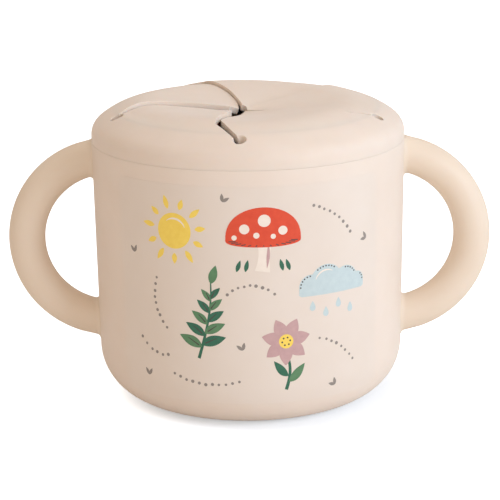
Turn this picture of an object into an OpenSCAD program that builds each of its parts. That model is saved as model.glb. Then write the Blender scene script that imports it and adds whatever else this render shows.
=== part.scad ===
// Toddler snack cup: a two-handled cup with a soft lid that a small hand pushes through.
// The cup stands on z = 0 with its axis on z, and the handles lie along x. Lengths are in mm.

/* [Cup] */
// Outside diameter of the cup at the seam below the lid
cup_d = 90; // [80:1:104]
// Height of that seam above the table
cup_h = 75; // [66:1:95]
// Thickness of the cup's wall
wall_t = 3; // [2.8:0.1:4]
// Thickness of the cup's floor
floor_t = 2.6; // [1.8:0.1:4]
// Taper of the wall, in degrees from upright
wall_draft = 0.8; // [0:0.1:1.6]
// Radius of the rounded corner between the wall and the base
base_round = 15; // [8:0.5:18]
// Width of the ring that the cup stands on
foot_w = 4; // [2:0.5:8]
// Height of the shallow hollow inside that ring
foot_rise = 0.8; // [0.4:0.1:1.5]
// Height of the thin neck that the lid grips
neck_h = 4; // [3:0.5:4.5]

/* [Handles] */
// Radius of each handle's ring, to the middle of its grip
ring_r = 24.3; // [20:0.1:26]
// Thickness of the round grip
grip_d = 10.6; // [8:0.1:12]
// Depth of the ring's centre inside the cup's wall
ring_inset = 4.1; // [2:0.1:8]
// Height of the ring's highest point over the seam, in line with its centre and so inside the wall
handle_rise = 0.4; // [-4:0.1:0.5]
// Width of the flare where the grip runs into the wall
root_flare = 1.5; // [0.5:0.1:2.5]

/* [Lid] */
// Thickness of the skirt outside the cup's neck
skirt_t = 1.5; // [1.2:0.1:1.7]
// Height of the upright part of the skirt
skirt_h = 2.3; // [1:0.1:4]
// Radius of the tight round at the lid's side
side_round = 5; // [4:0.1:6]
// Width of the whole shoulder, from the side to the crest
shoulder_w = 16.3; // [14:0.1:18]
// Height of the whole shoulder
shoulder_h = 8.9; // [8:0.1:10]
// Radius of the crest, where the shoulder turns down into the dish
crest_round = 40; // [20:1:60]
// Depth of the dish in the middle, below the crest
dish_depth = 3.1; // [2:0.1:4]
// Thickness of the lid's top and of its flaps
lid_t = 1.8; // [1.2:0.1:2.2]
// Thickness of the lip that plugs into the cup
lip_t = 1.5; // [1:0.1:1.8]
// Reach of that lip below the seam
lip_depth = 3; // [2:0.5:5]
// Height of each of the two sealing ribs on the lip
rib_h = 0.45; // [0.2:0.05:0.6]

/* [Flaps] */
// Number of flaps in the lid
flap_n = 5; // [5:1:5]
// Direction of the first slit's end, in degrees from +x
first_slit = -92; // [-108:1:-72]
// Distance from the lid's centre to the middle of each relief hole
hole_ring_r = 39.4; // [38:0.1:40.5]
// Diameter of the relief hole at each slit's end
relief_d = 3.9; // [2:0.1:4.4]
// Width of the slits
slit_w = 0.5; // [0.4:0.05:0.8]
// Distance from the ring of relief holes in to each slit's elbow
elbow_back = 6; // [5:0.1:8]
// Angle by which the elbow lags behind the relief hole
elbow_lag = 11; // [8:0.1:12]
// Bow of the slit's long arm, between the centre and the elbow
slit_bow = 1.3; // [0.5:0.1:2]
// Length taken off each side of the flap's lobe by its rounding
lobe_round = 5; // [2:0.1:6]
// Distance from the lid's centre to the line on which each flap folds
fold_line_r = 30; // [28.5:0.1:30.5]
// Distance from the lid's centre at which the flaps' points are cut square
tip_r = 1.8; // [1:0.1:2.5]
// Length of the slit's edge, back from the elbow, that is trimmed so that the flap's root can turn
root_trim = 3.8; // [3:0.1:6]

/* [Print] */
// Half of the angle that the printed film spans, in degrees
film_half = 52; // [40:1:56]
// Thickness of the film, which lies flush in the wall
film_t = 0.2; // [0.1:0.05:0.4]
// Distance from the seam down to the film's upper edge
film_top_gap = 4; // [2:0.5:10]
// Distance from the base's round up to the film's lower edge
film_low_gap = 1; // [0.5:0.5:10]

/* [Fits] */
// Clearance between the lid and the neck
lid_fit = 0.06; // [0.02:0.01:0.1]
// Clearance between each flap's root and its seat in the lid
fold_gap = 0.15; // [0.1:0.01:0.2]

/* [Hidden] */
$fn = 96;

cup_r = cup_d / 2;
grip_r = grip_d / 2;
taper = tan(wall_draft);
floor_top = foot_rise + floor_t;
inner_round = base_round - wall_t;
neck_out_r = cup_r - skirt_t - lid_fit;
neck_in_r = cup_r - wall_t;
neck_top = cup_h + neck_h;
edge_round = 0.4;        // small rounds on moulded edges
arc_n = 8;               // straight pieces in each arc of a turned section

// Outside radius of the cup's wall at height z
function wall_r(z) = cup_r - taper * (cup_h - z);

// n + 1 points on an arc about c, from angle a to angle b
function arc(c, r, a, b, n = arc_n) =
    [for (i = [0:n]) let (t = a + (b - a) * i / n) [c[0] + r * cos(t), c[1] + r * sin(t)]];

function reversed(p) = [for (i = [len(p) - 1:-1:0]) p[i]];
function turned(p, a) = [for (q = p) [q[0] * cos(a) - q[1] * sin(a), q[0] * sin(a) + q[1] * cos(a)]];

// Cup

foot_r = wall_r(base_round) - base_round;
outer_section = concat(
    [[0, 0]],
    arc([foot_r, base_round], base_round, -90, 0),
    [[cup_r, cup_h]]);

module cup_envelope() {
    rotate_extrude() polygon(concat(outer_section, [[0, cup_h]]));
}

module cup_section() {
    inner_foot_r = wall_r(floor_top + inner_round) - wall_t - inner_round;
    polygon(concat(
        [[0, foot_rise], [foot_r - foot_w - foot_rise, foot_rise], [foot_r - foot_w, 0]],
        arc([foot_r, base_round], base_round, -90, 0),
        [[cup_r, cup_h], [neck_out_r, cup_h]],
        arc([neck_out_r - edge_round, neck_top - edge_round], edge_round, 0, 90, 3),
        arc([neck_in_r + edge_round, neck_top - edge_round], edge_round, 90, 180, 3),
        [[neck_in_r, cup_h]],
        reversed(arc([inner_foot_r, floor_top + inner_round], inner_round, -90, 0)),
        [[0, floor_top]]));
}

module cup_shell() {
    color("bisque") difference() {
        rotate_extrude() cup_section();
        film_body();
    }
}

// Printed film, in a pocket of its own thickness in the front of the wall

film_low = base_round + film_low_gap;
film_top = cup_h - film_top_gap;

module film_body() {
    rotate([0, 0, -90 - film_half])
        rotate_extrude(angle = 2 * film_half)
            polygon([[wall_r(film_low) - film_t, film_low], [wall_r(film_low), film_low],
                     [wall_r(film_top), film_top], [wall_r(film_top) - film_t, film_top]]);
}

module print_film() {
    color("antiquewhite") film_body();
}

// Handles

ring_z = cup_h + handle_rise - ring_r - grip_r;
ring_x = wall_r(ring_z) - ring_inset;
root_turn = acos(ring_inset / ring_r);   // angle on the ring at which the grip meets the wall
root_sink = 2;                           // depth to which the flare starts inside the wall
root_bite = 0.3;                         // depth to which the flare's thin end cuts into the grip
root_gap = 0.1;                          // distance of the root's level top below the seam

module grip_root() {
    flare_r = root_flare + root_bite;
    rotate_extrude() polygon(concat(
        [[0, -root_sink], [grip_r + root_flare, -root_sink]],
        reversed(arc([grip_r + root_flare, flare_r], flare_r, 180, 270, 5)),
        [[0, flare_r]]));
}

module handle_right() {
    sweep = root_turn + 8;
    color("bisque") difference() {
        intersection() {
            translate([ring_x, 0, ring_z]) rotate([90, 0, 0]) union() {
                rotate([0, 0, -sweep]) rotate_extrude(angle = 2 * sweep)
                    translate([ring_r, 0]) circle(r = grip_r);
                for (side = [-1, 1])
                    rotate([0, 0, side * root_turn]) translate([ring_r, 0, 0])
                        rotate([side * 90, 0, 0]) grip_root();
            }
            translate([0, -cup_r, 0]) cube([cup_r * 3, cup_d, cup_h - root_gap]);
        }
        cup_envelope();
    }
}

module handle_left() {
    mirror([1, 0, 0]) handle_right();
}

// Lid, as it is moulded, before its slits are cut

lid_r = cup_r;
crest_r = lid_r - shoulder_w;
crest_z = cup_h + skirt_h + shoulder_h;
side_c = [lid_r - side_round, cup_h + skirt_h];
// The broad arc of the shoulder is level at the crest and touches the tight round at the side
broad_r = (pow(crest_r - side_c[0], 2) + pow(shoulder_h, 2) - pow(side_round, 2))
    / (2 * (shoulder_h - side_round));
broad_c = [crest_r, crest_z - broad_r];
meet_turn = atan2(side_c[1] - broad_c[1], side_c[0] - broad_c[0]);
// Dish: a cone whose rim runs into the crest through an arc
function dish_fall(a) = crest_round * (1 - cos(a)) + (crest_r - crest_round * sin(a)) * tan(a);
function dish_slope(low = 0, high = 30, n = 24) =
    n == 0 ? (low + high) / 2
    : dish_fall((low + high) / 2) > dish_depth ? dish_slope(low, (low + high) / 2, n - 1)
    : dish_slope((low + high) / 2, high, n - 1);
dish_turn = dish_slope();
dish_rim_r = crest_r - crest_round * sin(dish_turn);

// Height of the lid's upper face at distance r from the axis
function lid_top(r) =
    r <= dish_rim_r ? crest_z - dish_depth + r * tan(dish_turn)
    : r <= crest_r ? crest_z - crest_round + sqrt(pow(crest_round, 2) - pow(crest_r - r, 2))
    : r <= broad_c[0] + broad_r * cos(meet_turn) ? broad_c[1] + sqrt(pow(broad_r, 2) - pow(r - crest_r, 2))
    : side_c[1] + sqrt(max(0, pow(side_round, 2) - pow(r - side_c[0], 2)));

groove_top = neck_top + 0.2;             // the neck stops just short of the groove's end
lip_out_r = neck_in_r - lid_fit - rib_h;
lip_in_r = lip_out_r - lip_t;
lip_low = cup_h - lip_depth;
lip_lead = 0.6;                          // bevel that leads the lip into the cup
rib_pitch = 2.6;
rib_low = lip_low + 1.9;

function rib(z) = reversed(arc([lip_out_r, z], rib_h, -90, 90, 6));

module lid_section() {
    upper = concat(
        [[0, lid_top(0)]],
        reversed(arc([crest_r, crest_z - crest_round], crest_round, 90, 90 + dish_turn, 4)),
        reversed(arc(broad_c, broad_r, meet_turn, 90, 10)),
        reversed(arc(side_c, side_round, 0, meet_turn, 6)));
    under_r = [for (i = [0:10]) lip_in_r + (crest_r - lip_in_r) * i / 10];
    polygon(concat(
        upper,
        [[lid_r, cup_h], [lid_r - skirt_t, cup_h], [lid_r - skirt_t, groove_top], [lip_out_r, groove_top]],
        rib(rib_low + rib_pitch),
        rib(rib_low),
        [[lip_out_r, lip_low + lip_lead], [lip_out_r - lip_lead, lip_low], [lip_in_r, lip_low]],
        [for (r = under_r) [r, lid_top(r) - lid_t]],
        [[dish_rim_r, lid_top(dish_rim_r) - lid_t], [0, lid_top(0) - lid_t]]));
}

module lid_blank() {
    rotate_extrude() lid_section();
}

// Slits, drawn with the relief hole on +x. One long bowed arm runs from the centre to an elbow,
// and a short straight arm runs from there to the hole.

pitch = 360 / flap_n;
elbow_r = hole_ring_r - elbow_back;
elbow = elbow_r * [cos(elbow_lag), -sin(elbow_lag)];
hole_c = [hole_ring_r, 0];
bow_r = (pow(elbow_r / 2, 2) + pow(slit_bow, 2)) / (2 * slit_bow);
bow_half = asin(elbow_r / 2 / bow_r);
arm_n = 9;

// Point on the long arm's middle line at share s of its length, moved sideways by w
function long_arm(s, w) =
    let (a = 90 + bow_half - 2 * bow_half * s,
         p = [(bow_r + w) * cos(a), (bow_r + w) * sin(a) - bow_r * cos(bow_half)],
         q = [p[0] + elbow_r / 2, -p[1]])
    turned([q], -elbow_lag)[0];

function unit(v) = v / norm(v);
short_dir = unit(hole_c - elbow);
short_side = [short_dir[1], -short_dir[0]];
function short_arm(d, w) = elbow + short_dir * d + short_side * w;

// Share of the long arm at which it leaves the squared point in the middle
tip_share = tip_r / elbow_r;
lobe_share = 1 - lobe_round / elbow_r;

// Edge of the slit on the lobe's side, from the centre out to the hole: its elbow is rounded
function lobe_edge(w, from = tip_share) =
    let (a = long_arm(lobe_share, -w), b = short_arm(0, -w), c = short_arm(lobe_round, -w))
    concat(
        [for (i = [0:arm_n]) long_arm(from + (lobe_share - from) * i / arm_n, -w)],
        [for (i = [1:5]) let (t = i / 5) (1 - t) * (1 - t) * a + 2 * t * (1 - t) * b + t * t * c],
        [short_arm(norm(hole_c - elbow), -w)]);

// Edge of the slit on the other side, with a sharp elbow
function notch_edge(w, from = tip_share) =
    concat(
        [for (i = [0:arm_n]) long_arm(from + (1 - from) * i / arm_n, w)],
        [short_arm(norm(hole_c - elbow), w)]);

// Plan of one flap, between its own slit and the next, with the slits' half width w left out
function flap_plan(w) = concat(
    lobe_edge(w),
    [[hole_ring_r + 1, 0.2]],
    turned([[hole_ring_r + 1, -0.2]], pitch),
    turned(reversed(notch_edge(w)), pitch));

fold_dir = pitch / 2;                    // direction of the fold line's normal, from the flap's slit
fold_n = [cos(fold_dir), sin(fold_dir)];
// Where the fold line runs into the short arm: the lowest corner of the flap's root
root_corner = elbow + (hole_c - elbow) * (fold_line_r - fold_n * elbow) / (fold_n * (hole_c - elbow));
root_high = lid_top(fold_line_r);
root_low = lid_top(norm(root_corner)) - lid_t;
fold_z = (root_high + root_low) / 2;
fold_r = (root_high - root_low) / 2 + 0.15;

cut_low = groove_top + 1.3;              // the relief holes stop above the lip and the groove
cut_h = 12;

// Everything that turns with a flap: all that lies inside the fold line, and a round root on it
module fold_limit(grow) {
    rotate([0, 0, fold_dir]) union() {
        translate([fold_line_r - cup_d, -cup_r, lip_low])
            cube([cup_d, cup_d, cut_h + lip_depth + neck_h + skirt_h]);
        translate([fold_line_r, 0, fold_z]) rotate([90, 0, 0])
            cylinder(r = fold_r + grow, h = cup_d, center = true);
    }
}

module flap_prism(w) {
    translate([0, 0, lip_low]) linear_extrude(cut_h + lip_depth + neck_h + skirt_h) polygon(flap_plan(w));
}

module relief_hole() {
    translate([hole_ring_r, 0, cut_low]) cylinder(d = relief_d, h = cut_h);
}

// Corner that is taken off a flap's root beside the next slit, square to the fold line
module root_corner_cut() {
    start = turned([long_arm(1 - root_trim / elbow_r, slit_w / 2)], pitch - fold_dir)[0];
    rotate([0, 0, fold_dir]) translate([start[0], start[1], lip_low]) cube([cup_d, cup_d, cup_h]);
}

module slit_cut() {
    translate([0, 0, cut_low - 1]) linear_extrude(cut_h)
        polygon(concat(lobe_edge(slit_w / 2, 0), reversed(notch_edge(slit_w / 2, 0))));
}

function slit_dir(k) = first_slit + pitch * k;

module lid_ring() {
    color("bisque") difference() {
        lid_blank();
        for (k = [0:flap_n - 1]) rotate([0, 0, slit_dir(k)]) {
            relief_hole();
            slit_cut();
            intersection() {
                flap_prism(0);
                fold_limit(fold_gap);
            }
        }
        translate([0, 0, lip_low]) cylinder(r = tip_r * 2, h = cut_h * 2);
    }
}

// Flap k: the first lies to the right of the front slit, and the count runs against the clock
module flap(k) {
    color("wheat") rotate([0, 0, slit_dir(k)]) difference() {
        intersection() {
            lid_blank();
            flap_prism(slit_w / 2);
            fold_limit(0);
        }
        relief_hole();
        rotate([0, 0, pitch]) relief_hole();
        root_corner_cut();
    }
}

cup_shell();
handle_left();
handle_right();
print_film();
lid_ring();
flap(0);  // flap_front_right
flap(1);  // flap_right
flap(2);  // flap_back
flap(3);  // flap_left
flap(4);  // flap_front_left
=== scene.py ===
"""Toddler snack cup with a soft push-in lid: its looks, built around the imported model.

Lengths are in millimetres and are turned to metres by MM. The cup stands on z = 0 with its axis on z,
its handles lie along x, and its printed front faces -y.
"""

import math
import random

import bmesh
import bpy
from mathutils import Matrix, Vector


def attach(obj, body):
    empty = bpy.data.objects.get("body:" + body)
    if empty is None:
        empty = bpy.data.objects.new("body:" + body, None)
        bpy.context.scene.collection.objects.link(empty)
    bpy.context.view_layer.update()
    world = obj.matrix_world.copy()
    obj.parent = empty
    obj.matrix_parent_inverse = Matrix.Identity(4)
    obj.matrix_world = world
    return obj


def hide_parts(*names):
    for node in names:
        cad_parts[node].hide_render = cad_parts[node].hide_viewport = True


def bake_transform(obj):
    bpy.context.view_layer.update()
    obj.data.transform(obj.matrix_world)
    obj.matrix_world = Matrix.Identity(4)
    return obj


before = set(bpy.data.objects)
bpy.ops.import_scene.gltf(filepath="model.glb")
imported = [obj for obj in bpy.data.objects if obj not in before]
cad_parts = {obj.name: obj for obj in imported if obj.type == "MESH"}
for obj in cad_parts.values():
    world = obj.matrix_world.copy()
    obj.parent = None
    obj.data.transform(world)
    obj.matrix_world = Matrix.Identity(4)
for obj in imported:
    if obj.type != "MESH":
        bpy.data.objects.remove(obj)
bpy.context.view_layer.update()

MM = 0.001

# Cup
CUP_R = 45.0            # at the seam below the lid
CUP_H = 75.0
SEAM_Z = 75.5           # the seam as it is seen, half a millimetre above the cup's shoulder
WALL = 3.0
DRAFT = math.tan(math.radians(0.8))
BASE_ROUND = 15.0
FOOT_R = CUP_R - DRAFT * (CUP_H - BASE_ROUND) - BASE_ROUND
FLOOR_TOP = 3.4
NECK_R = 43.44
NECK_TOP = 79.0
INNER_R = 42.0

# Handles
RING_R = 24.3
GRIP_R = 5.3
RING_Z = 45.8
RING_INSET = 4.1
FLARE = 1.6
ROOT_TOP = 74.88        # the flare is level here, just below the seam

# Lid
SKIRT_TOP = 77.3
SIDE_ROUND = 5.0
CREST_R = 28.7
CREST_Z = 86.2
CREST_ROUND = 40.0
DISH_DEPTH = 3.1
LID_T = 1.8             # the flaps
RIM_T = 2.7             # the shoulder round the relief holes
SKIRT_T = 1.45
BROAD_R = ((CREST_R - CUP_R + SIDE_ROUND) ** 2 + 8.9 ** 2 - SIDE_ROUND ** 2) / (2 * (8.9 - SIDE_ROUND))

# Slits
FLAP_N = 5
HOLE_RING_R = 39.4
HOLE_R = 1.95
FLAP_EDGE_R = 38.0      # the flap pieces end here, outside their fold, in the shoulder that stays still


# Small helpers

def let_go():
    """Nothing stays selected, so an operator works only on what is picked after this."""
    if bpy.context.object and bpy.context.object.mode != "OBJECT":
        bpy.ops.object.mode_set(mode="OBJECT")
    bpy.ops.object.select_all(action="DESELECT")


def pick(piece):
    let_go()
    piece.select_set(True)
    bpy.context.view_layer.objects.active = piece
    return piece


def edit_all(piece):
    """Edit mode with the whole mesh selected."""
    pick(piece)
    bpy.ops.object.mode_set(mode="EDIT")
    bpy.ops.mesh.select_all(action="SELECT")


def named(piece, name):
    piece.name = name
    piece.data.name = name
    return piece


def apply_all(piece):
    pick(piece)
    for modifier in list(piece.modifiers):
        bpy.ops.object.modifier_apply(modifier=modifier.name)


def smooth(piece, degrees=40):
    pick(piece)
    bpy.ops.object.shade_smooth_by_angle(angle=math.radians(degrees))


def settle(piece):
    """The piece's place goes into its mesh."""
    pick(piece)
    bpy.ops.object.transform_apply(location=True, rotation=True, scale=True)


def polar(r, degrees):
    a = math.radians(degrees)
    return Vector((r * math.cos(a), r * math.sin(a)))


def arc(cx, cy, r, start, end, steps):
    """Points on an arc, from one angle to another, in degrees."""
    return [(cx + r * math.cos(math.radians(start + (end - start) * i / steps)),
             cy + r * math.sin(math.radians(start + (end - start) * i / steps))) for i in range(steps + 1)]


def wall_r(z):
    """Radius of the cup's outer wall at height z, its rounded base included."""
    if z >= BASE_ROUND:
        return CUP_R - DRAFT * (CUP_H - z)
    return FOOT_R + math.sqrt(max(0.0, BASE_ROUND ** 2 - (BASE_ROUND - z) ** 2))


# The lid's upper face

def dish_turn():
    low, high = 0.0, math.radians(30)
    for _ in range(40):
        turn = (low + high) / 2
        fall = CREST_ROUND * (1 - math.cos(turn)) + (CREST_R - CREST_ROUND * math.sin(turn)) * math.tan(turn)
        low, high = (low, turn) if fall > DISH_DEPTH else (turn, high)
    return turn


DISH_TURN = dish_turn()
DISH_RIM = CREST_R - CREST_ROUND * math.sin(DISH_TURN)
BROAD_C = (CREST_R, CREST_Z - BROAD_R)
SIDE_C = (CUP_R - SIDE_ROUND, SKIRT_TOP)
MEET = math.degrees(math.atan2(SIDE_C[1] - BROAD_C[1], SIDE_C[0] - BROAD_C[0]))
MEET_R = BROAD_C[0] + BROAD_R * math.cos(math.radians(MEET))


def lid_top(r):
    """Height of the lid's upper face at distance r from the axis. The dish's middle is slightly rounded."""
    if r <= DISH_RIM:
        soft = math.sqrt(r * r + 9.0) - 1.2 * math.exp(-r * r / 30.0)
        return CREST_Z - DISH_DEPTH + (soft if r < 12 else math.sqrt(r * r + 9.0)) * math.tan(DISH_TURN) - (
            math.sqrt(DISH_RIM ** 2 + 9.0) - DISH_RIM) * math.tan(DISH_TURN)
    if r <= CREST_R:
        return CREST_Z - CREST_ROUND + math.sqrt(CREST_ROUND ** 2 - (CREST_R - r) ** 2)
    if r <= MEET_R:
        return BROAD_C[1] + math.sqrt(BROAD_R ** 2 - (r - CREST_R) ** 2)
    return SIDE_C[1] + math.sqrt(max(0.0, SIDE_ROUND ** 2 - (r - SIDE_C[0]) ** 2))


# Slits: a long bowed arm from the middle to an elbow, and a short straight arm to the relief hole. The soft
# flaps have settled a little, so each slit has its own hole (distance and direction from the axis), elbow
# (distance, and degrees behind the hole) and bow.

SLITS = [
    {"hole": (40.1, -93.0), "oval": (0.95, 0.8), "enter": (-1.1, 0.2), "elbow": (32.9, 12.0), "bow": 0.7, "round": 8.0, "inner": 0,
     "open": 1.0, "reach": 13, "tip": 0.75, "droop": (34.5, 24), "sag": 0.8},
    {"hole": (39.2, -22.0), "oval": (0.88, 0.72), "enter": (0, 0), "elbow": (33.4, 11.0), "bow": -1.6, "round": 5.0, "inner": 0,
     "open": 0.6, "reach": 20, "tip": 0.6, "droop": (38.4, 33.8), "sag": 0.35},
    {"hole": (39.4, 52.0), "oval": (1.0, 0.8), "enter": (0, 0), "elbow": (33.4, 11.0), "bow": 1.3, "round": 5.0, "inner": 0,
     "open": 0.6, "reach": 13, "tip": 0.2, "droop": (38.4, 33.8), "sag": 0.85},
    {"hole": (39.4, 124.0), "oval": (1.0, 0.8), "enter": (0, 0), "elbow": (33.4, 11.0), "bow": 3.0, "hook": 0.75, "round": 5.0, "inner": 0,
     "open": 0.6, "reach": 13, "tip": 0.75, "droop": (38.4, 33.8), "sag": 0.6},
    {"hole": (38.5, 198.0), "oval": (1.0, 0.78), "enter": (0, 0), "elbow": (33.0, 10.5), "bow": 2.2, "round": 6.0, "inner": 5.5,
     "open": 0.6, "reach": 27, "tip": 0.8, "droop": (38.4, 33.8), "sag": 0.75},
]
MIDDLE = Vector((-2.3, -0.8))   # where the tips meet, a little off the axis
LONG_GAP = 0.2          # half the slit's width along its long arm
SHORT_NOTCH_GAP = 0.32


def ease(value, start, end):
    """0 before start, 1 after end, and a smooth rise between them. It falls where start is the larger."""
    t = min(1.0, max(0.0, (value - start) / (end - start)))
    return t * t * (3 - 2 * t)


def row_middle(r):
    """The rows of the lid's grid are circles round the axis outside, and round the tips' meeting point inside."""
    return MIDDLE * (1 - ease(r, 4, 28))


def row_of(p):
    """Radius of the row on which a point lies."""
    r = p.length
    for _ in range(12):
        r = (p - row_middle(r)).length
    return r


def slit_edges(slit):
    """Both edges of a slit, from the middle outwards: the lobe's, with a rounded corner, and the notch's."""
    hole = polar(*slit["hole"]) + Vector(slit["enter"])
    elbow = polar(slit["elbow"][0], slit["hole"][1] - slit["elbow"][1])
    run = elbow - MIDDLE
    long_side = Vector((run[1], -run[0])).normalized()
    short_dir = (hole - elbow).normalized()
    short_side = Vector((short_dir[1], -short_dir[0]))
    far = (hole - elbow).length

    def long_arm(share, side):
        away = share * run.length
        gap = LONG_GAP + (slit["tip"] - LONG_GAP) * ease(away, slit["reach"], 3)
        hook = slit.get("hook", 0.0) * ease(away, 0, 3) * ease(away, 16, 4) * (1.0 if side < 0 else 0.35)
        return MIDDLE + run * share + long_side * (slit["bow"] * math.sin(math.pi * share) + hook + side * gap)

    def short_arm(distance, aside):
        return elbow + short_dir * distance + short_side * aside

    leave = 1 - slit["round"] / run.length
    a, b, c = long_arm(leave, -1), short_arm(0.2, -slit["open"]), short_arm(slit["round"], -slit["open"])
    bend = [a * (1 - t) ** 2 + b * 2 * t * (1 - t) + c * t * t for t in (i / 16 for i in range(1, 17))]
    lobe = ([long_arm(leave * i / 60, -1) for i in range(61)] + bend
            + [short_arm(slit["round"] + (far - slit["round"]) * i / 10, -slit["open"]) for i in range(1, 11)])
    near = max(slit["inner"], 0.5)
    leave = 1 - near / run.length
    a, b, c = long_arm(leave, 1), short_arm(0, SHORT_NOTCH_GAP), short_arm(near, SHORT_NOTCH_GAP)
    bend = [a * (1 - t) ** 2 + b * 2 * t * (1 - t) + c * t * t for t in (i / 12 for i in range(1, 13))]
    notch = ([long_arm(leave * i / 60, 1) for i in range(61)] + bend
             + [short_arm(near + (far - near) * i / 20, SHORT_NOTCH_GAP) for i in range(1, 21)])
    return lobe, notch


def turn_at(path, r):
    """Direction in degrees, from the row's middle, in which the path crosses the row of radius r."""
    before = None
    for p in path:
        now = row_of(p)
        if before is not None and before[0] <= r <= now and now > before[0]:
            m = before[1].lerp(p, (r - before[0]) / (now - before[0])) - row_middle(r)
            return math.degrees(math.atan2(m[1], m[0]))
        before = (now, p)
    m = path[0 if r < before[0] else -1] - row_middle(r)
    return math.degrees(math.atan2(m[1], m[0]))


# Turned pieces

def turned(name, profile, steps=256, closed=False):
    """A ring of points is drawn out along the profile, ring by ring, as on a lathe."""
    r, z = profile[0]
    let_go()
    bpy.ops.mesh.primitive_circle_add(vertices=steps, radius=max(r, 0.4) * MM, location=(0, 0, z * MM))
    piece = named(bpy.context.object, name)
    settle(piece)
    edit_all(piece)
    now_r, now_z = max(r, 0.4), z
    for r, z in profile[1:]:
        bpy.ops.mesh.extrude_region_move(TRANSFORM_OT_translate={"value": (0, 0, (z - now_z) * MM)})
        size = max(r, 0.4) / now_r
        bpy.ops.transform.resize(value=(size, size, 1), center_override=(0, 0, z * MM))
        now_r, now_z = max(r, 0.4), z
    bpy.ops.mesh.select_all(action="DESELECT")
    bpy.ops.mesh.select_mode(type="EDGE")
    bpy.ops.mesh.select_non_manifold()
    if closed:
        bpy.ops.mesh.bridge_edge_loops()
    else:
        bpy.ops.mesh.edge_face_add()
        bpy.ops.mesh.select_all(action="DESELECT")
    edit_all(piece)
    bpy.ops.mesh.normals_make_consistent(inside=False)
    bpy.ops.object.mode_set(mode="OBJECT")
    return piece


def close_ends(piece):
    """Each open ring of edges gets a face."""
    edit_all(piece)
    bpy.ops.mesh.select_all(action="DESELECT")
    bpy.ops.mesh.select_mode(type="EDGE")
    bpy.ops.mesh.select_non_manifold()
    bpy.ops.mesh.fill_holes(sides=0)
    bpy.ops.mesh.select_all(action="SELECT")
    bpy.ops.mesh.normals_make_consistent(inside=False)
    bpy.ops.object.mode_set(mode="OBJECT")


def make_cup():
    inner_foot = wall_r(FLOOR_TOP + 12) - WALL - 12
    profile = [(0, 0.8), (8, 0.8), (16, 0.8), (23.6, 0.8)]
    profile += arc(23.9, 0.4, 0.4, 90, 45, 2)[1:] + [(24.9, 0.12), (25.2, 0.02), (25.6, 0)]
    profile += [(27.4, 0)] + arc(FOOT_R, BASE_ROUND, BASE_ROUND, -90, 0, 26)
    profile += [(wall_r(z), z) for z in (22, 30, 38, 46, 54, 62, 69, 73, 74.6)]
    profile += arc(CUP_R - 0.16, SEAM_Z - 0.16, 0.16, 8, 90, 4)
    profile += [(44.2, SEAM_Z), (43.75, SEAM_Z)] + arc(NECK_R + 0.25, SEAM_Z + 0.25, 0.25, 270, 180, 3)
    profile += [(NECK_R, 77), (NECK_R, 78.2)] + arc(NECK_R - 0.4, NECK_TOP - 0.4, 0.4, 0, 90, 5)
    profile += arc(INNER_R + 0.4, NECK_TOP - 0.4, 0.4, 90, 180, 5)
    profile += [(INNER_R, 77)] + [(wall_r(z) - WALL, z) for z in (75, 66, 56, 46, 36, 26, 19)]
    profile += arc(inner_foot, FLOOR_TOP + 12, 12, 0, -90, 16)
    profile += [(20, FLOOR_TOP), (10, FLOOR_TOP), (0, FLOOR_TOP)]
    piece = turned("cup_body", profile)
    smooth(piece, 30)
    return piece


def grip_point(turn, around, side):
    """A point of the grip, turn degrees along its ring and around degrees about its own middle."""
    a, b = math.radians(turn), math.radians(around)
    ring_x = wall_r(RING_Z) - RING_INSET
    r = RING_R + GRIP_R * math.cos(b)
    return Vector((ring_x + r * math.cos(a), GRIP_R * math.sin(b), RING_Z + side * r * math.sin(a)))


def root_line(around, side):
    """Points on the flare, from the grip to the wall and a little into it, on one side of the grip."""
    low, high = 55.0, 89.5
    for _ in range(40):
        turn = (low + high) / 2
        p = grip_point(turn, around, side)
        low, high = (turn, high) if p.xy.length > wall_r(p.z) else (low, turn)
    corner = grip_point(turn, around, side)
    start = grip_point(turn - math.degrees(FLARE / (RING_R + GRIP_R * math.cos(math.radians(around)))), around, side)
    middle = grip_point(turn, 90, side) + Vector((0, -GRIP_R, 0))
    end = corner + (corner - middle).normalized() * FLARE
    end.xy = end.xy.normalized() * wall_r(end.z)
    line = []
    for i in range(9):
        t = i / 8
        line.append(start * (1 - t) ** 2 + corner * 2 * t * (1 - t) + end * t * t)
    inside = end.copy()
    inside.xy = inside.xy.normalized() * (wall_r(end.z) - 0.6)
    line.append(inside)
    for p in line:
        p.z = min(p.z, ROOT_TOP)
    return line


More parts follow.
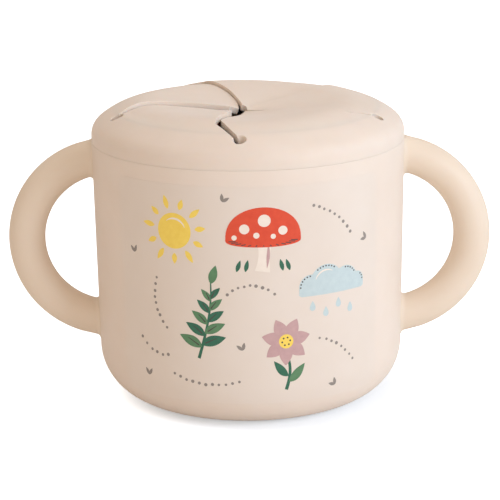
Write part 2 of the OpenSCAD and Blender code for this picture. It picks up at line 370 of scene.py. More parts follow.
def make_handle():
    """The right handle: a ring spun about its own centre, whose ends flare out and settle on the round wall."""
    ring_x = wall_r(RING_Z) - RING_INSET
    reach = 71.5
    first = polar(RING_R, -reach)
    let_go()
    bpy.ops.mesh.primitive_circle_add(vertices=48, radius=GRIP_R * MM,
                                      location=((ring_x + first[0]) * MM, 0, (RING_Z + first[1]) * MM),
                                      rotation=(0, math.radians(reach), 0))
    piece = named(bpy.context.object, "handle_grip_right")
    settle(piece)
    edit_all(piece)
    bpy.ops.mesh.spin(steps=90, angle=math.radians(2 * reach), center=(ring_x * MM, 0, RING_Z * MM), axis=(0, 1, 0))
    bpy.ops.object.mode_set(mode="OBJECT")
    for side in (1, -1):
        edge = polar(RING_R, side * reach)
        centre = Vector((ring_x + edge[0], 0, RING_Z + edge[1]))
        outward = Vector((edge[0], 0, edge[1])).normalized()
        edit_all(piece)
        bpy.ops.mesh.select_all(action="DESELECT")
        bpy.ops.object.mode_set(mode="OBJECT")
        for v in piece.data.vertices:
            v.select = abs((v.co / MM - centre).length - GRIP_R) < 0.02
        bpy.ops.object.mode_set(mode="EDIT")
        bpy.ops.mesh.select_mode(type="VERT")
        around = None
        for level in range(10):
            bpy.ops.mesh.extrude_region_move()
            bpy.ops.object.mode_set(mode="OBJECT")
            moved = [v for v in piece.data.vertices if v.select]
            if around is None:
                around = [math.degrees(math.atan2(v.co.y / MM, (v.co / MM - centre).dot(outward))) for v in moved]
                lines = [root_line(a, side) for a in around]
                places = [[tuple(p * MM) for p in line] for line in lines]
                order = {tuple(round(c, 7) for c in v.co): n for n, v in enumerate(moved)}
            numbers = [order[tuple(round(c, 7) for c in v.co)] for v in moved]
            for v, n in zip(moved, numbers):
                v.co = places[n][level]
            order = {tuple(round(c, 7) for c in v.co): n for v, n in zip(moved, numbers)}
            bpy.ops.object.mode_set(mode="EDIT")
        bpy.ops.object.mode_set(mode="OBJECT")
    close_ends(piece)
    smooth(piece, 50)
    return piece


def make_left(handle):
    piece = handle.copy()
    piece.data = handle.data.copy()
    bpy.context.scene.collection.objects.link(piece)
    named(piece, "handle_grip_left")
    edit_all(piece)
    bpy.ops.transform.mirror(constraint_axis=(True, False, False), center_override=(0, 0, 0))
    bpy.ops.mesh.normals_make_consistent(inside=False)
    bpy.ops.object.mode_set(mode="OBJECT")
    smooth(piece, 50)
    return piece


# Lid

PLAN_R = [2.2, 2.6, 3.2, 4.0, 5.0, 6.1, 7.2, 8.4, 9.8, 11.2, 12.6, 14, 15.5, 17, 18.5, 20, 21.5, 23, 24.5, 26, 27.3,
          28.5, 29.6, 30.6, 31.5, 32.2, 32.75, 33.1, 33.35, 33.6, 34.0, 34.7, 35.5, 36.3, 37.2]
TIP_R = [2.2, 2.0, 4.0, 3.0, 6.0]             # how far each flap's tip stays from the middle
TIP_LIFT = [-0.5, 0.3, 0.25, 0.1, 0.0]       # and how far it hangs or stands proud
TIP_LENGTH = [22, 22, 12, 22, 22]            # and how far from the middle that begins
COLUMNS = 18
NOTCH_RISE = 0.35       # how far the notch's side of each flap stands proud


def flap_lift(k, share, r):
    """The flaps leave the mould slightly twisted. share runs from the lobe's edge, 0, to the notch's edge, 1."""
    down = SLITS[k]["sag"] * ease(r, *SLITS[k]["droop"]) * (1 - share) ** 1.5
    up = NOTCH_RISE * ease(r, 36.5, 29.0) * share ** 1.5
    return up - down + TIP_LIFT[k] * ease(r, TIP_LENGTH[k], 2)


def lid_rows():
    """The lid's upper profile, from the flaps' tips to the skirt's lower edge."""
    rows = [(r, lid_top(r)) for r in PLAN_R]
    edge = math.degrees(math.acos((FLAP_EDGE_R - BROAD_C[0]) / BROAD_R))
    rows += arc(BROAD_C[0], BROAD_C[1], BROAD_R, edge, MEET, 9)
    rows += arc(SIDE_C[0], SIDE_C[1], SIDE_ROUND, MEET, 0, 7)[1:]
    rows += [(CUP_R, z) for z in (76.9, 76.4, 76.0, 75.73, SEAM_Z + 0.02)]
    return rows


def sector(k, rows):
    """One fifth of the lid's sheet, between one slit and the next, as a grid laid on the profile."""
    own, following = SLITS[k], SLITS[(k + 1) % FLAP_N]
    lobe, notch = slit_edges(own)[0], slit_edges(following)[1]
    let_go()
    bpy.ops.mesh.primitive_grid_add(x_subdivisions=COLUMNS, y_subdivisions=len(rows) - 1, size=1)
    piece = named(bpy.context.object, "lid_sector")
    bounds = []
    for r, _ in rows:
        r = max(r, TIP_R[k] + (r - PLAN_R[0]) * (20 - TIP_R[k]) / (20 - PLAN_R[0])) if r < 20 else r
        start = turn_at(lobe, r) if r < own["hole"][0] else own["hole"][1]
        end = turn_at(notch, r) if r < following["hole"][0] else following["hole"][1]
        bounds.append((r, start, (end - start) % 360))
    for v in piece.data.vertices:
        i = round((v.co.x + 0.5) * COLUMNS)
        j = round((v.co.y + 0.5) * (len(rows) - 1))
        r, start, span = bounds[j]
        even = i / COLUMNS
        lobe_side = min(0.6 / (r * math.radians(span)), 0.7 / COLUMNS)
        notch_side = min(0.35 / (r * math.radians(span)), 0.6 / COLUMNS)
        tight = lobe_side + (1 - lobe_side - notch_side) * (i - 1) / (COLUMNS - 2)
        tight = 0.0 if i == 0 else 1.0 if i == COLUMNS else tight
        level = ease(r, HOLE_RING_R, HOLE_RING_R + 3)
        share = tight * (1 - level) + even * level
        p = row_middle(r) + polar(r, start + span * share)
        z = rows[j][1] if r > 28.5 else lid_top(p.length)
        v.co = Vector((p[0], p[1], z + flap_lift(k, share, r))) * MM
    for face in piece.data.polygons:
        inside = max(piece.data.vertices[v].co.xy.length for v in face.vertices) < (FLAP_EDGE_R + 0.01) * MM
        face.material_index = 1 if inside else 0
    return piece


def make_lid(silicone):
    """The whole moulding is shaped in one go, so that the flaps run smoothly into the shoulder. Then it is
    parted into the rim and the flaps."""
    rows = lid_rows()
    parts = [sector(k, rows) for k in range(FLAP_N)]
    marks = [bpy.data.materials.new("mark_%d" % i) for i in range(FLAP_N + 1)]
    pick(parts[0])
    for k, part in enumerate(parts):
        part.data.materials.append(marks[0])
        part.data.materials.append(marks[k + 1])
        part.select_set(True)
    bpy.ops.object.join()
    sheet = named(bpy.context.object, "lid_sheet")
    edit_all(sheet)
    bpy.ops.mesh.remove_doubles(threshold=0.00002)
    bpy.ops.object.mode_set(mode="OBJECT")
    normal_up = sum(f.normal.z * f.area for f in sheet.data.polygons)
    if normal_up < 0:
        edit_all(sheet)
        bpy.ops.mesh.flip_normals()
        bpy.ops.object.mode_set(mode="OBJECT")
    group = sheet.vertex_groups.new(name="thickness")
    for v in sheet.data.vertices:
        r = v.co.xy.length / MM
        thick = LID_T + (RIM_T - LID_T) * ease(r, 36.0, 38.0)
        if r > 41:
            thick += (SKIRT_T - RIM_T) * ease(v.co.z / MM, 82.5, 79.0)
        group.add([v.index], thick / RIM_T, "REPLACE")
    wall = sheet.modifiers.new("wall", "SOLIDIFY")
    wall.thickness = RIM_T * MM
    wall.offset = -1
    wall.use_even_offset = True
    wall.use_quality_normals = True
    wall.vertex_group = "thickness"
    wall.edge_crease_outer = 0.6
    wall.edge_crease_inner = 0.6
    wall.edge_crease_rim = 0.0
    round_off = sheet.modifiers.new("round_off", "SUBSURF")
    round_off.levels = 2
    round_off.render_levels = 2
    apply_all(sheet)
    sheet.vertex_groups.clear()
    whole = sheet.copy()
    whole.data = sheet.data.copy()
    bpy.context.scene.collection.objects.link(whole)
    smooth(whole, 42)
    edit_all(sheet)
    bpy.ops.mesh.separate(type="MATERIAL")
    bpy.ops.object.mode_set(mode="OBJECT")
    found = [o for o in bpy.context.selected_objects if o.type == "MESH"]
    names = ["lid_rim", "flap_skin_front_right", "flap_skin_right", "flap_skin_back", "flap_skin_left",
             "flap_skin_front_left"]
    pieces = {}
    for piece in found:
        index = marks.index(piece.data.materials[piece.data.polygons[0].material_index])
        for face in piece.data.polygons:
            face.material_index = 0
        piece.data.materials.clear()
        piece.data.materials.append(silicone)
        named(piece, names[index])
        close_ends(piece)
        pieces[names[index]] = piece
    return pieces, whole


def match_shading(piece, whole):
    """Where the lid is parted, a piece takes the normals of the whole moulding, so that no line shows there."""
    smooth(piece, 42)
    group = piece.vertex_groups.new(name="parting")
    group.add([v.index for v in piece.data.vertices if abs(v.co.xy.length / MM - FLAP_EDGE_R) < 0.05], 1.0, "REPLACE")
    carry = piece.modifiers.new("carry", "DATA_TRANSFER")
    carry.object = whole
    carry.use_loop_data = True
    carry.data_types_loops = {"CUSTOM_NORMAL"}
    carry.loop_mapping = "POLYINTERP_NEAREST"
    carry.vertex_group = "parting"
    apply_all(piece)
    piece.vertex_groups.clear()


def hole_posts(low):
    """Posts that cut the relief holes. Each widens in a round at the lid's face."""
    posts = []
    rings = [(2.0, HOLE_R + 0.2), (0.02, HOLE_R + 0.18), (-0.03, HOLE_R + 0.08), (-0.1, HOLE_R + 0.02), (-0.2, HOLE_R)]
    for slit in SLITS:
        x, y = polar(*slit["hole"]) * MM
        let_go()
        bpy.ops.mesh.primitive_circle_add(vertices=48, radius=rings[0][1] * MM, location=(x, y, 0.09))
        post = bpy.context.object
        settle(post)
        edit_all(post)
        bpy.ops.transform.resize(value=slit["oval"] + (1,), center_override=(x, y, 0))
        for before, ring in zip(rings, rings[1:] + [(None, HOLE_R)]):
            bpy.ops.mesh.extrude_region_move(TRANSFORM_OT_translate={"value": (0, 0, -0.0005)})
            size = ring[1] / before[1]
            bpy.ops.transform.resize(value=(size, size, 1), center_override=(x, y, 0))
        bpy.ops.object.mode_set(mode="OBJECT")
        for v in post.data.vertices:
            level = round((0.09 - v.co.z) / 0.0005)
            v.co.z = (lid_top(v.co.xy.length / MM) + rings[level][0] if level < len(rings) else low) * MM
        close_ends(post)
        posts.append(post)
    pick(posts[0])
    for post in posts:
        post.select_set(True)
    bpy.ops.object.join()
    return bpy.context.object


def cut(piece, cutter):
    tool = piece.modifiers.new("cut", "BOOLEAN")
    tool.operation = "DIFFERENCE"
    tool.solver = "EXACT"
    tool.object = cutter
    apply_all(piece)
    bpy.data.objects.remove(cutter)


def make_lip():
    """The lip under the lid: it plugs into the neck, and two round ribs seal it."""
    out, inside, low = 41.49, 39.99, 72.0
    profile = [(inside, 82.2), (inside, 80), (inside, 76), (inside, low + 0.3)] + arc(inside + 0.3, low + 0.3, 0.3, 180, 270, 3)[1:]
    profile += [(out - 0.6, low), (out - 0.15, low + 0.35), (out, low + 0.7), (out, low + 1.35)]
    for rib in (low + 1.9, low + 4.5):
        profile += arc(out, rib, 0.45, -90, 90, 8)
    profile += [(out, 79.0), (out + 0.2, 79.2), (43.3, 79.2), (43.4, 79.6), (42.6, 80.6), (41.6, 81.4)]
    piece = turned("lid_lip", profile, steps=192, closed=True)
    smooth(piece, 40)
    return piece


# Materials

def linear(hex_colour):
    """A colour written in sRGB hex, as the shader wants it."""
    value = hex_colour.lstrip("#")
    parts = [int(value[i:i + 2], 16) / 255 for i in (0, 2, 4)]
    return tuple(c / 12.92 if c <= 0.04045 else ((c + 0.055) / 1.055) ** 2.4 for c in parts) + (1.0,)


def add_node(tree, kind, settings=None, inputs=None):
    """Adds a node with its settings, and links or fills its inputs."""
    node = tree.nodes.new(kind)
    for key, value in (settings or {}).items():
        setattr(node, key, value)
    for socket, value in (inputs or {}).items():
        if isinstance(value, bpy.types.NodeSocket):
            tree.links.new(value, node.inputs[socket])
        else:
            node.inputs[socket].default_value = value
    return node


def new_material(name):
    material = bpy.data.materials.new(name)
    material.use_nodes = True
    tree = material.node_tree
    tree.nodes.clear()
    return material, tree


def moulded(name, colour, deep, roughness, ior, grain_mm, grain_depth, patch_mm, soft, sheen=0.0):
    """A moulded surface: a fine even grain from the mould, and a faint cloudiness in its colour. Sheen is the
    dusty paleness of silicone where one looks along it."""
    material, tree = new_material(name)
    place = add_node(tree, "ShaderNodeTexCoord").outputs["Object"]
    patch = add_node(tree, "ShaderNodeTexNoise", {"noise_dimensions": "3D"},
                     {"Vector": place, "Scale": 1000 / patch_mm, "Detail": 3.0, "Roughness": 0.55})
    tone = add_node(tree, "ShaderNodeValToRGB", inputs={"Fac": patch.outputs["Fac"]})
    tone.color_ramp.elements[0].position = 0.3
    tone.color_ramp.elements[0].color = linear(deep)
    tone.color_ramp.elements[1].position = 0.7
    tone.color_ramp.elements[1].color = linear(colour)
    grain = add_node(tree, "ShaderNodeTexNoise", {"noise_dimensions": "3D"},
                     {"Vector": place, "Scale": 1000 / grain_mm, "Detail": 2.0, "Roughness": 0.5})
    rough = add_node(tree, "ShaderNodeMapRange", inputs={"Value": grain.outputs["Fac"], "From Min": 0.3, "From Max": 0.7,
                                                        "To Min": roughness - 0.05, "To Max": roughness + 0.05})
    bump = add_node(tree, "ShaderNodeBump", inputs={"Height": grain.outputs["Fac"], "Strength": 1.0,
                                                    "Distance": grain_depth * MM})
    shader = add_node(tree, "ShaderNodeBsdfPrincipled",
                      inputs={"Base Color": tone.outputs["Color"], "Roughness": rough.outputs["Result"],
                              "Normal": bump.outputs["Normal"]})
    shader.inputs["IOR"].default_value = ior
    shader.inputs["Sheen Weight"].default_value = sheen
    shader.inputs["Sheen Roughness"].default_value = 0.45
    shader.inputs["Subsurface Weight"].default_value = soft
    shader.inputs["Subsurface Radius"].default_value = (1.0, 0.62, 0.42)
    shader.inputs["Subsurface Scale"].default_value = 1.6 * MM
    add_node(tree, "ShaderNodeOutputMaterial", inputs={"Surface": shader.outputs["BSDF"]})
    return material


# Polypropylene, injection moulded in a spark-eroded mould: a dry, even matte face that glows a little at thin edges.
# Its grain is about 0.1 mm in reality and is drawn at 0.45 mm so that it shows.
CREAM_PP = moulded("matte_polypropylene_cream", "#EADDD0", "#E7D9CB", 0.5, 1.49, 0.45, 0.006, 14, 0.1)
# The same moulding in the thick round grips, its colour painted a little warmer and yellower: painted shade, standing
# in for light that goes further into the thick grips and comes out warmer.
GRIP_PP_PAINTED_WARM = moulded("matte_polypropylene_cream_painted_warm", "#E9DAC7", "#E6D6C2", 0.5, 1.49, 0.45, 0.006, 14, 0.1)
# Liquid silicone, moulded: softer and drier than the cup, with a deeper glow in its edges.
# Its grain is drawn at 0.6 mm for the same reason.
CREAM_SILICONE = moulded("matte_silicone_cream", "#E9DCCF", "#E6D8CA", 0.56, 1.41, 0.6, 0.008, 11, 0.2, 0.18)
# In-mould label: a polypropylene film fused to the wall, a touch smoother than the wall round it.
LABEL_FILM = moulded("in_mould_label_film_cream", "#EBDED1", "#E8DACC", 0.46, 1.49, 0.45, 0.004, 14, 0.1)


def ink(name, colour, deep):
    """Screen ink under the film's matte lacquer: flat and opaque, with the faint mottle of a printed solid."""
    return moulded("screen_ink_" + name, colour, deep, 0.48, 1.5, 0.45, 0.003, 1.6, 0.0)


INKS = {
    "coral": ink("coral", "#E04F2F", "#D84628"),
    "mauve": ink("mauve", "#C8A5A4", "#C09C9C"),
    "yellow": ink("yellow", "#F9DC66", "#F4D45A"),
    "green": ink("green", "#2F6E55", "#2A644D"),
    "leaf": ink("leaf", "#5C8A62", "#547F5A"),
    "blue": ink("blue", "#C6D7D9", "#BED0D3"),
    "grey": ink("grey", "#948C85", "#8C847D"),
    "dark": ink("dark", "#4B4543", "#45403E"),
    "milk": ink("milk", "#F3E9DD", "#EFE4D7"),
}


# Printed label

LABEL_HALF = math.radians(52) * 44.6
LABEL_LOW, LABEL_HIGH = 9.0, 71.0


def wrapped(u, v, lift):
    """A point of the flat artwork, u to the right of the front and v above the table, laid on the cup's wall."""
    turn = u / 44.6
    r = wall_r(v) + lift
    return Vector((r * math.sin(turn), -r * math.cos(turn), v)) * MM


def flat_shape(outline, strip=1.5):
    """A flat outline in (u, v), cut in narrow upright strips so that it can bend round the cup."""
    let_go()
    bpy.ops.mesh.primitive_circle_add(vertices=len(outline), radius=1, fill_type="NGON")
    piece = bpy.context.object
    for v, (x, y) in zip(piece.data.vertices, outline):
        v.co = (x, y, 0)
    area = sum(a[0] * b[1] - b[0] * a[1] for a, b in zip(outline, outline[1:] + outline[:1]))
    low, high = min(p[0] for p in outline), max(p[0] for p in outline)
    bottom, top = min(p[1] for p in outline), max(p[1] for p in outline)
    edit_all(piece)
    if area < 0:
        bpy.ops.mesh.flip_normals()
    at = (math.floor(low / strip) + 1) * strip
    while at < high - 0.05:
        bpy.ops.mesh.select_all(action="SELECT")
        bpy.ops.mesh.bisect(plane_co=(at, 0, 0), plane_no=(1, 0, 0))
        at += strip
    for level in (11, 13, 15):
        if bottom < level < top:
            bpy.ops.mesh.select_all(action="SELECT")
            bpy.ops.mesh.bisect(plane_co=(0, level, 0), plane_no=(0, 1, 0))
    bpy.ops.object.mode_set(mode="OBJECT")
    return piece


def lay_down(piece, lift, thickness):
    for v in piece.data.vertices:
        v.co = wrapped(v.co.x, v.co.y, lift)
    body = piece.modifiers.new("body", "SOLIDIFY")
    body.thickness = thickness * MM
    body.offset = -1
    apply_all(piece)
    return piece


def make_label():
    left, right, low, high, r = -LABEL_HALF, LABEL_HALF, LABEL_LOW, LABEL_HIGH, 3.0
    outline = (arc(right - r, low + r, r, -90, 0, 8) + arc(right - r, high - r, r, 0, 90, 8)
               + arc(left + r, high - r, r, 90, 180, 8) + arc(left + r, low + r, r, 180, 270, 8))
    piece = named(flat_shape(outline), "label_film")
    lay_down(piece, 0.05, 0.15)
    smooth(piece, 30)
    return piece


def ring_points(cx, cy, r, n=28):
    return [(cx + r * math.cos(2 * math.pi * i / n), cy + r * math.sin(2 * math.pi * i / n)) for i in range(n)]


def leaf_points(x, y, length, width, lean, n=14, curl=0.0):
    """A pointed leaf from its base at (x, y). lean is its direction in degrees, and curl bends its tip aside."""
    a = math.radians(lean)
    along, aside = (math.cos(a), math.sin(a)), (-math.sin(a), math.cos(a))
    side = []
    for i in range(n + 1):
        t = i / n
        half = width / 2 * math.sin(math.pi * t ** 0.85) ** 0.9 if 0 < t < 1 else 0.0
        side.append((t * length, half, curl * t * t))
    points = [(s, c - h) for s, h, c in side] + [(s, c + h) for s, h, c in reversed(side[1:-1])]
    return [(x + s * along[0] + w * aside[0], y + s * along[1] + w * aside[1]) for s, w in points]


def band_points(spine, widths):
    """A band of changing width along a line of points."""
    left, right = [], []
    for i, (x, y) in enumerate(spine):
        a, b = spine[max(0, i - 1)], spine[min(len(spine) - 1, i + 1)]
        length = math.hypot(b[0] - a[0], b[1] - a[1])
        nx, ny = -(b[1] - a[1]) / length, (b[0] - a[0]) / length
        w = widths(i / (len(spine) - 1)) / 2
        left.append((x + nx * w, y + ny * w))
        right.append((x - nx * w, y - ny * w))
    return right + left[::-1]


def cloud_points(cx, cy, puffs, base, n=60):
    """The upper outline of a row of round puffs, on a flat base with rounded ends."""
    left = min(x - r for x, r, _ in puffs)
    right = max(x + r for x, r, _ in puffs)
    top = []
    for i in range(n + 1):
        x = left + (right - left) * (0.5 - 0.5 * math.cos(math.pi * i / n))
        y = max((h + math.sqrt(r * r - (x - px) ** 2) for px, r, h in puffs if abs(x - px) < r), default=base)
        top.append((x, max(y, base + 0.05)))
    return [(cx + right - 0.6, cy + base - 0.3)] + [(cx + x, cy + y) for x, y in reversed(top)] + [
        (cx + left + 0.6, cy + base - 0.3)]


def drop_points(x, y, r, n=20):
    """A raindrop with its point up."""
    points = []
    for i in range(n):
        a = 2 * math.pi * i / n
        points.append((x + r * math.sin(a) * math.sin(a / 2) ** 1.2, y + r * 1.25 * math.cos(a)))
    return points


class Motif:
    """Printed shapes that lie on each other in the order in which they are added, each in one ink."""

    def __init__(self, name, middle=(0, 0), size=1.0):
        self.name = name
        self.middle = middle
        self.size = size
        self.parts = []

    def add(self, outline, colour, layer=0, strip=1.5):
        mx, my = self.middle
        outline = [(mx + (x - mx) * self.size, my + (y - my) * self.size) for x, y in outline]
        part = flat_shape(outline, strip)
        lay_down(part, 0.07 + 0.015 * layer, 0.05)
        part.data.materials.append(INKS[colour])
        self.parts.append(part)

    def done(self):
        pick(self.parts[0])
        for part in self.parts:
            part.select_set(True)
        if len(self.parts) > 1:
            bpy.ops.object.join()
        piece = named(bpy.context.object, self.name)
        smooth(piece, 30)
        return piece


def make_sun(x, y):
    motif = Motif("print_sun", (x, y), 1.2)
    for i in range(11):
        a = 360 * i / 11 + 8
        start = (x + 5.2 * math.cos(math.radians(a)), y + 5.2 * math.sin(math.radians(a)))
        motif.add(leaf_points(start[0], start[1], 3.3 if i % 2 else 2.6, 1.3, a), "yellow")
    motif.add(ring_points(x, y, 4.2, 40), "yellow")
    motif.add(band_points([(x + 2.9 * math.cos(math.radians(t)), y + 2.9 * math.sin(math.radians(t)))
                           for t in range(20, 131, 10)], lambda t: 0.35 * math.sin(math.pi * t) + 0.12), "milk", 1)
    return motif.done()


def make_toadstool(x, y):
    motif = Motif("print_toadstool", (x, y), 1.2)
    stem = [(x - 0.3 + 0.5 * math.sin(t / 10 * 2.2), y - 8 + t * 0.8) for t in range(11)]
    motif.add(band_points(stem, lambda t: 3.9 - 1.3 * math.sin(math.pi * min(1, t * 0.9 + 0.1))), "milk")
    motif.add(band_points([(s[0] + 0.9, s[1]) for s in stem[1:9]], lambda t: 0.7 * math.sin(math.pi * t) + 0.05), "mauve", 1)
    cap = [(x + 8.6 * math.cos(math.radians(t)), y - 0.6 + 7.6 * math.sin(math.radians(t)) ** 0.85) for t in range(0, 181, 6)]
    cap += [(x + 8.6 * math.cos(math.radians(t)), y - 0.6 - 1.7 * math.sin(math.radians(t)) ** 0.7) for t in range(174, 0, -6)]
    motif.add(cap, "coral", 2)
    for dx, dy, r in ((-4.3, 2.0, 1.15), (0.2, 3.9, 1.45), (4.4, 1.5, 1.05), (-1.6, 0.5, 0.7), (2.2, 0.2, 0.6), (-6.6, 0.0, 0.6)):
        motif.add(ring_points(x + dx, y + dy, r, 22), "milk", 3)
    for dx in (-6.2, -4.2, 4.4, 6.0):
        motif.add(leaf_points(x + dx, y - 8, 2.9, 1.0, 90 + dx * 3), "green", 0)
    for t in range(12, 170, 13):
        gill = [(x + s * math.cos(math.radians(t)), y - 0.6 - s * 0.19 * math.sin(math.radians(t))) for s in (6.4, 7.2, 8.0)]
        motif.add(band_points(gill, lambda t: 0.2), "dark", 4)
    return motif.done()


def make_sprig(x, y):
    motif = Motif("print_sprig", (x, y), 1.2)
    spine = [(x + 3.2 * math.sin(t / 20 * 1.7) - 1.2, y - 9 + t * 0.92) for t in range(21)]
    motif.add(band_points(spine, lambda t: 0.75 - 0.45 * t), "green")
    for i, t in enumerate((3, 6, 9, 12, 15)):
        px, py = spine[t]
        size = 6.0 - 0.62 * i
        motif.add(leaf_points(px, py, size, size * 0.42, 148 - 8 * i, curl=0.7), "green" if i % 2 else "leaf", 1)
        motif.add(leaf_points(px, py + 0.6, size, size * 0.42, 26 + 9 * i, curl=-0.7), "leaf" if i % 2 else "green", 1)
        for base, lean in ((py, 148 - 8 * i), (py + 0.6, 26 + 9 * i)):
            vein = [(px + size * t * math.cos(math.radians(lean)), base + size * t * math.sin(math.radians(lean)))
                    for t in (0.15, 0.4, 0.65)]
            motif.add(band_points(vein, lambda t: 0.3 - 0.15 * t), "dark", 2)
    motif.add(leaf_points(spine[-1][0], spine[-1][1] - 0.4, 4.6, 2.0, 74), "leaf", 1)
    return motif.done()


def make_cloud(x, y):
    motif = Motif("print_cloud", (x, y), 1.2)
    motif.add(cloud_points(x, y, [(-5.6, 2.9, 0.0), (-1.6, 4.3, 0.6), (3.6, 3.4, 0.4), (7.0, 2.1, -0.3)], -1.9), "blue")
    for dx, dy in ((-5.2, -4.6), (-1.8, -6.3), (1.6, -4.6), (5.0, -6.3)):
        motif.add(drop_points(x + dx, y + dy, 0.95), "blue")
    for px, r, h, start, end in ((-5.6, 2.9, 0.0, 95, 185), (-1.6, 4.3, 0.6, 60, 135), (3.6, 3.4, 0.4, 35, 92), (7.0, 2.1, -0.3, 5, 60)):
        for t in range(start, end, round(48 / r)):
            motif.add(ring_points(x + px + (r - 0.35) * math.cos(math.radians(t)),
                                  y + h + (r - 0.35) * math.sin(math.radians(t)), 0.19, 10), "dark", 2)
    motif.add(band_points([(x - 1.6 + 3.0 * math.cos(math.radians(t)), y + 0.6 + 3.0 * math.sin(math.radians(t)))
                           for t in range(60, 161, 10)], lambda t: 0.3 * math.sin(math.pi * t) + 0.1), "milk", 1)
    return motif.done()


def make_flower(x, y):
    motif = Motif("print_flower", (x, y), 1.2)
    stem = [(x + 0.9 * math.sin(t / 12 * 3.0), y - 9.5 + t * 0.75) for t in range(13)]
    motif.add(band_points(stem, lambda t: 0.8 - 0.2 * t), "green")
    motif.add(leaf_points(x + 0.6, y - 7.6, 5.6, 2.1, 38, curl=0.9), "leaf", 1)
    motif.add(leaf_points(x + 0.5, y - 6.2, 5.0, 1.9, 142, curl=-0.9), "green", 1)
    for i in range(7):
        a = 360 * i / 7 + 12
        motif.add(leaf_points(x + 0.8 * math.cos(math.radians(a)), y + 2.2 + 0.8 * math.sin(math.radians(a)), 5.0, 3.1, a), "mauve", 2)
    motif.add(ring_points(x, y + 2.2, 1.7, 24), "yellow", 3)
    for i in range(6):
        a = math.radians(60 * i + 10)
        motif.add(ring_points(x + 0.95 * math.cos(a), y + 2.2 + 0.95 * math.sin(a), 0.22, 10), "dark", 4)
    return motif.done()


def make_trails():
    """Small grey dots in loose curves between the larger shapes, with a few seeds and specks."""
    motif = Motif("print_trails")
    dice = random.Random(7)
    paths = [
        ((-6, 41), (0, 46), (7, 41), 9),
        ((18, 65), (25, 63), (30, 56), 9),
        ((-27, 44), (-30, 36), (-24, 30), 9),
        ((-33, 26), (-29, 21), (-24, 22), 6),
        ((-22, 17), (-13, 13), (-3, 16), 11),
        ((20, 27), (27, 25), (31, 19), 8),
    ]
    for a, b, c, n in paths:
        for i in range(n):
            t = i / (n - 1)
            px = a[0] * (1 - t) ** 2 + 2 * b[0] * t * (1 - t) + c[0] * t * t + dice.uniform(-0.15, 0.15)
            py = a[1] * (1 - t) ** 2 + 2 * b[1] * t * (1 - t) + c[1] * t * t + dice.uniform(-0.15, 0.15)
            motif.add(ring_points(px, py, dice.uniform(0.36, 0.5), 12), "grey")
    for px, py, lean in ((-35, 50, 70), (-7, 67, 30), (36, 53, 120), (-31, 15, 60), (25, 12.5, 100), (-2, 25, 80)):
        motif.add(leaf_points(px, py, 2.3, 0.95, lean), "grey")
        motif.add(leaf_points(px, py, 2.3, 0.95, lean + 62), "grey")
    return motif.done()


# Building

cup = make_cup()
cup.data.materials.append(CREAM_PP)
handle_right = make_handle()
handle_left = make_left(handle_right)
for piece in (handle_right, handle_left):
    piece.data.materials.append(GRIP_PP_PAINTED_WARM)
label = make_label()
label.data.materials.append(LABEL_FILM)
prints = [make_sun(-21, 58), make_toadstool(4, 57), make_cloud(24, 42), make_sprig(-13, 33), make_flower(10, 24.5), make_trails()]

lid_pieces, lid_whole = make_lid(CREAM_SILICONE)
lip = make_lip()
lip.data.materials.append(CREAM_SILICONE)
rim = lid_pieces.pop("lid_rim")
for piece in [rim] + list(lid_pieces.values()):
    cut(piece, hole_posts(78.0))
cut(lip, hole_posts(80.5))
smooth(lip, 42)
for piece in [rim] + list(lid_pieces.values()):
    match_shading(piece, lid_whole)
bpy.data.objects.remove(lid_whole)

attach(cup, "cup")
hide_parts("cup_shell")
for piece, node in ((handle_right, "handle_right"), (handle_left, "handle_left")):
    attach(piece, "cup")
    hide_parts(node)
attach(label, "cup")
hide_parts("print_film")
for piece in prints:
    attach(piece, "cup")
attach(rim, "lid")
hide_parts("lid_ring")
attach(lip, "lid")
for k, name in enumerate(["front_right", "right", "back", "left", "front_left"]):
    piece = lid_pieces["flap_skin_" + name]
    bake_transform(piece)
    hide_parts("flap_" + name)


# Stage, light and camera

def make_stage():
    material, tree = new_material("white_paper_with_painted_light")
    diffuse = add_node(tree, "ShaderNodeBsdfDiffuse", inputs={"Color": linear("#F4F2F0")})
    # The camera sees the floor's diffuse in a cooler colour than the one that bounces light: a painted blue-grey tint
    # in the floor's shade.
    shadow_tint_diffuse = add_node(tree, "ShaderNodeBsdfDiffuse", inputs={"Color": linear("#DDE8F2")})
    # Painted light: the floor's own glow, seen only by the camera, rises with distance from a point 6 mm right of the
    # axis. It paints out the lamps' shadow on the left and leaves the real shadow only close round the cup.
    place = add_node(tree, "ShaderNodeTexCoord").outputs["Object"]
    away = add_node(tree, "ShaderNodeVectorMath", {"operation": "DISTANCE"}, {0: place, 1: (0.006, 0.0, 0.0)})
    painted_light_ramp = add_node(tree, "ShaderNodeMapRange", {"interpolation_type": "SMOOTHSTEP"},
                        {"Value": away.outputs["Value"], "From Min": 0.037, "From Max": 0.05, "To Min": 0.42, "To Max": 0.94})
    glow = add_node(tree, "ShaderNodeEmission", inputs={"Color": (1, 1, 1, 1), "Strength": painted_light_ramp.outputs["Result"]})
    seen = add_node(tree, "ShaderNodeLightPath")
    both = add_node(tree, "ShaderNodeAddShader", inputs={0: shadow_tint_diffuse.outputs["BSDF"], 1: glow.outputs["Emission"]})
    pick_seen = add_node(tree, "ShaderNodeMixShader", inputs={"Fac": seen.outputs["Is Camera Ray"],
                                                             1: diffuse.outputs["BSDF"], 2: both.outputs["Shader"]})
    add_node(tree, "ShaderNodeOutputMaterial", inputs={"Surface": pick_seen.outputs["Shader"]})
    let_go()
    bpy.ops.mesh.primitive_plane_add(size=6, location=(0, 0, 0))
    floor = named(bpy.context.object, "floor_paper")
    settle(floor)
    floor.data.materials.append(material)


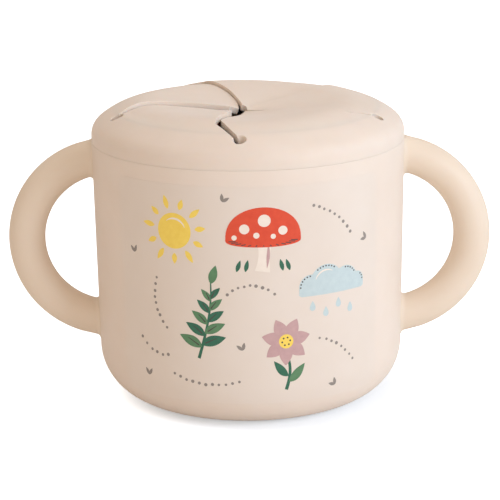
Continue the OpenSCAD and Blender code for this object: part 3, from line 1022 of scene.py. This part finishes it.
def make_world():
    world = bpy.data.worlds.new("studio_air")
    bpy.context.scene.world = world
    world.use_nodes = True
    tree = world.node_tree
    tree.nodes.clear()
    seen = add_node(tree, "ShaderNodeLightPath")
    mirrored = add_node(tree, "ShaderNodeMix", {"data_type": "RGBA"})
    tree.links.new(seen.outputs["Is Glossy Ray"], mirrored.inputs["Factor"])
    mirrored.inputs[6].default_value = (1.0, 0.81, 0.66, 1)
    mirrored.inputs[7].default_value = (1.0, 0.95, 0.92, 1)
    air = add_node(tree, "ShaderNodeBackground", inputs={"Color": mirrored.outputs[2], "Strength": WORLD})
    white = add_node(tree, "ShaderNodeBackground", inputs={"Color": (1, 1, 1, 1), "Strength": 1.0})
    pick_seen = add_node(tree, "ShaderNodeMixShader", inputs={"Fac": seen.outputs["Is Camera Ray"],
                                                             1: air.outputs["Background"], 2: white.outputs["Background"]})
    add_node(tree, "ShaderNodeOutputWorld", inputs={"Surface": pick_seen.outputs["Shader"]})


def lamp(name, place, size, watts, colour):
    light = bpy.data.lights.new(name, "AREA")
    light.shape = "DISK"
    light.size = size
    light.energy = watts
    light.color = colour
    holder = bpy.data.objects.new(name, light)
    bpy.context.scene.collection.objects.link(holder)
    holder.location = place
    holder.rotation_euler = (Vector((0, 0, 0.045)) - Vector(place)).to_track_quat("-Z", "Y").to_euler()


def make_camera():
    """The photograph's long lens, 0.6 m away and 15 degrees above level, rolled by 0.8 degrees."""
    camera = bpy.data.cameras.new("camera")
    camera.lens = 148.03
    camera.sensor_width = 36
    camera.clip_start = 0.01
    holder = bpy.data.objects.new("camera", camera)
    bpy.context.scene.collection.objects.link(holder)
    place = Vector((0.00236, -0.58002, 0.19981))
    look = Vector((0.00015, 0.00036, 0.04129))
    turn = (look - place).to_track_quat("-Z", "Y").to_matrix().to_4x4()
    holder.matrix_world = Matrix.Translation(place) @ turn @ Matrix.Rotation(math.radians(-0.82), 4, "Z")
    bpy.context.scene.camera = holder


WORLD = 0.6
make_stage()
make_world()
lamp("key_right", (0.95, -0.75, 0.5), 0.8, 7.4, (0.87, 1.02, 1.23))
lamp("fill_front", (-0.1, -1.3, 0.35), 0.9, 1.6, (1.0, 0.98, 0.96))
lamp("edge_right", (1.1, 0.3, 0.12), 0.8, 1.7, (0.5, 0.85, 1.1))
lamp("top_soft", (0.1, 0.2, 1.2), 1.0, 2.8, (0.95, 1.0, 1.05))
make_camera()
bpy.context.scene.view_settings.view_transform = "Standard"
